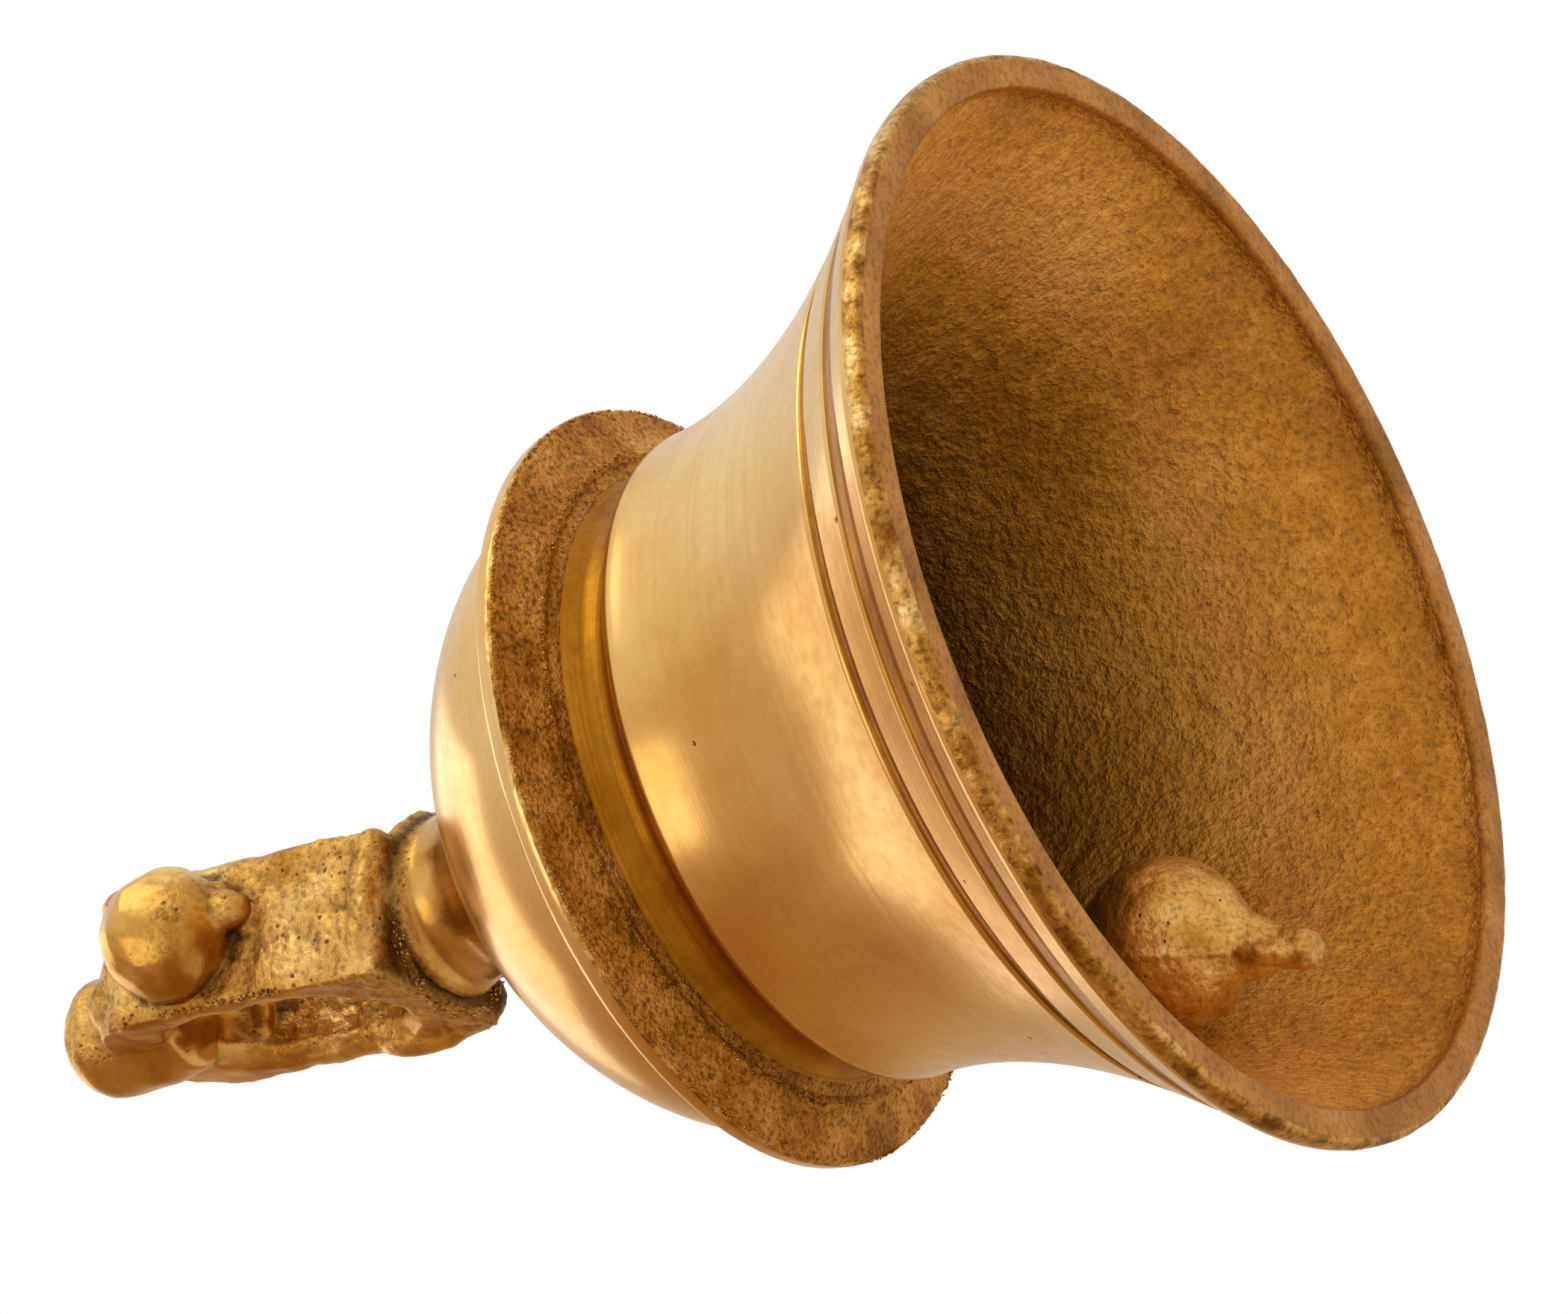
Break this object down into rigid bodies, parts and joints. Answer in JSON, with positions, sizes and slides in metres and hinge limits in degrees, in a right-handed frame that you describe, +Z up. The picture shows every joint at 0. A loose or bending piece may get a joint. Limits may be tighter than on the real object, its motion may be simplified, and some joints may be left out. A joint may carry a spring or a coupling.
{
  "type": "hanging bell",
  "caption": "Cast brass hanging bell with a flared mouth, turned neck groove, wide flange, domed crown, cast hanging loop and a swinging clapper.",
  "frame": {"origin": "centre of the lip's plane, on the bell's axis", "axes": "+Z up along the bell's axis from the mouth to the loop; +X and -X face the two open faces of the loop; +Y and -Y run through its two arms"},
  "size_m": [0.125, 0.125, 0.1569],
  "materials": {
    "body_brass": "machined and polished outside, raw sand casting inside and under the flange",
    "handle_brass": "raw sand casting, filed and polished on its high faces",
    "bolt_steel": "plain steel, darkened",
    "washer_brass": "stamped, dull",
    "nut_steel": "plain steel, darkened",
    "link_steel": "bent wire, dull",
    "clapper_brass": "raw casting with a parting seam"
  },
  "bodies": {
    "bell": {"bell_body": "body_brass", "crown_handle": "handle_brass", "eye_bolt": "bolt_steel", "crown_washer": "washer_brass", "crown_nut": "nut_steel"},
    "link": {"clapper_link": "link_steel"},
    "clapper": {"clapper": "clapper_brass"}
  },
  "joints": [
    {"name": "link_swing", "type": "hinge", "parent": "bell", "child": "link", "pos_m": [0, 0, 0.066], "axis": [-0.3907, -0.9205, 0], "range_deg": [0, 134.1]},
    {"name": "clapper_swing", "type": "hinge", "parent": "link", "child": "clapper", "pos_m": [-0.0183, 0.00777, 0.05756], "axis": [-0.3907, -0.9205, 0], "range_deg": [-93.98, 0]}
  ],
  "couplings": [
    {"joint": "link_swing", "follows": "clapper_swing", "ratio": -1.4258}
  ]
}
